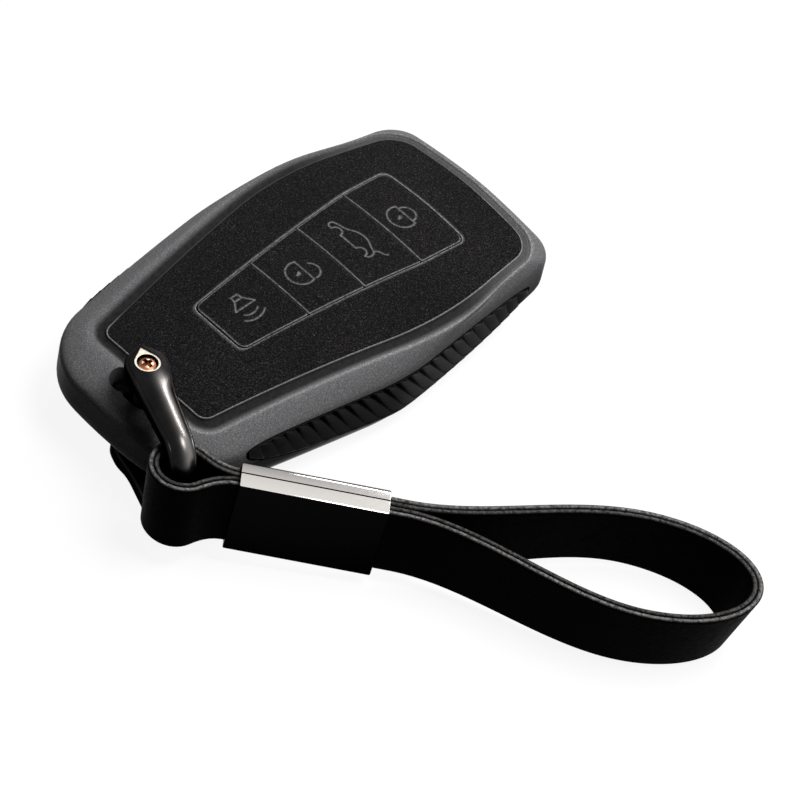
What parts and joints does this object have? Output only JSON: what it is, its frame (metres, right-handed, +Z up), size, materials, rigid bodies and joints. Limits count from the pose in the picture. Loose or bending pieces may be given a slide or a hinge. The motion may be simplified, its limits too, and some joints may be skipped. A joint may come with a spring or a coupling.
{
  "type": "key fob cover",
  "caption": "Two-part metal cover for a car key fob, with suede panels, push keys, ribbed side grips, a screw-pin shackle and a clamped leather wrist strap.",
  "frame": {"origin": "middle of the flat of the rear face that the cover rests on", "axes": "+Z up through the front face with the keys, +Y along the cover to its wide end, the shackle at the -Y end, +X to the side where the strap lies"},
  "size_m": [0.125, 0.1014, 0.0246],
  "materials": {
    "shell_metal": "matte speckled",
    "rear_metal": "gloss",
    "suede": "napped suede",
    "grip_gloss": "gloss",
    "inner_plastic": "matte",
    "lining": "flocked",
    "membrane_rubber": "matte",
    "gunmetal": "polished gunmetal",
    "brass": "polished",
    "leather": "fine grain",
    "leather_lining": "smooth",
    "clamp_metal": "polished gunmetal",
    "screw_steel": "satin"
  },
  "bodies": {
    "front_cover": {"front_shell": "shell_metal", "front_suede_panel": "suede", "front_backing_plate": "inner_plastic", "button_membrane": "membrane_rubber", "front_liner": "lining", "left_side_grip": "grip_gloss", "right_side_grip": "grip_gloss"},
    "lock_key": {"lock_button": "suede", "lock_plunger": "inner_plastic"},
    "trunk_key": {"trunk_button": "suede", "trunk_plunger": "inner_plastic"},
    "unlock_key": {"unlock_button": "suede", "unlock_plunger": "inner_plastic"},
    "alarm_key": {"alarm_button": "suede", "alarm_plunger": "inner_plastic"},
    "rear_cover": {"rear_shell": "rear_metal", "rear_suede_panel": "suede", "rear_liner": "lining"},
    "shackle_bow": {"shackle": "gunmetal", "shackle_screw": "brass"},
    "wrist_strap": {"strap_outer_ply": "leather", "strap_inner_ply": "leather_lining", "clamp_front_half": "clamp_metal", "clamp_rear_half": "clamp_metal", "clamp_screws": "screw_steel"}
  },
  "joints": [
    {"name": "lock_press", "type": "slide", "parent": "front_cover", "child": "lock_key", "axis": [0, 0, -1], "range_m": [0, 0.0006], "stiffness_N_per_m": 1200, "springref_m": -0.0004},
    {"name": "trunk_press", "type": "slide", "parent": "front_cover", "child": "trunk_key", "axis": [0, 0, -1], "range_m": [0, 0.0006], "stiffness_N_per_m": 1200, "springref_m": -0.0004},
    {"name": "unlock_press", "type": "slide", "parent": "front_cover", "child": "unlock_key", "axis": [0, 0, -1], "range_m": [0, 0.0006], "stiffness_N_per_m": 1200, "springref_m": -0.0004},
    {"name": "alarm_press", "type": "slide", "parent": "front_cover", "child": "alarm_key", "axis": [0, 0, -1], "range_m": [0, 0.0006], "stiffness_N_per_m": 1200, "springref_m": -0.0004},
    {"name": "rear_cover_slide", "type": "slide", "parent": "front_cover", "child": "rear_cover", "axis": [0, 0, -1], "range_m": [0, 0.02]},
    {"name": "shackle_swing", "type": "hinge", "parent": "front_cover", "child": "shackle_bow", "pos_m": [0.0017, -0.0404, 0.0123], "axis": [0, 0, 1], "range_deg": [-120, 0]},
    {"name": "strap_swing", "type": "hinge", "parent": "shackle_bow", "child": "wrist_strap", "pos_m": [0.01997, -0.04853, 0.0126], "axis": [0.0375, 0.0326, 0.9988], "range_deg": [-135, 0]}
  ]
}
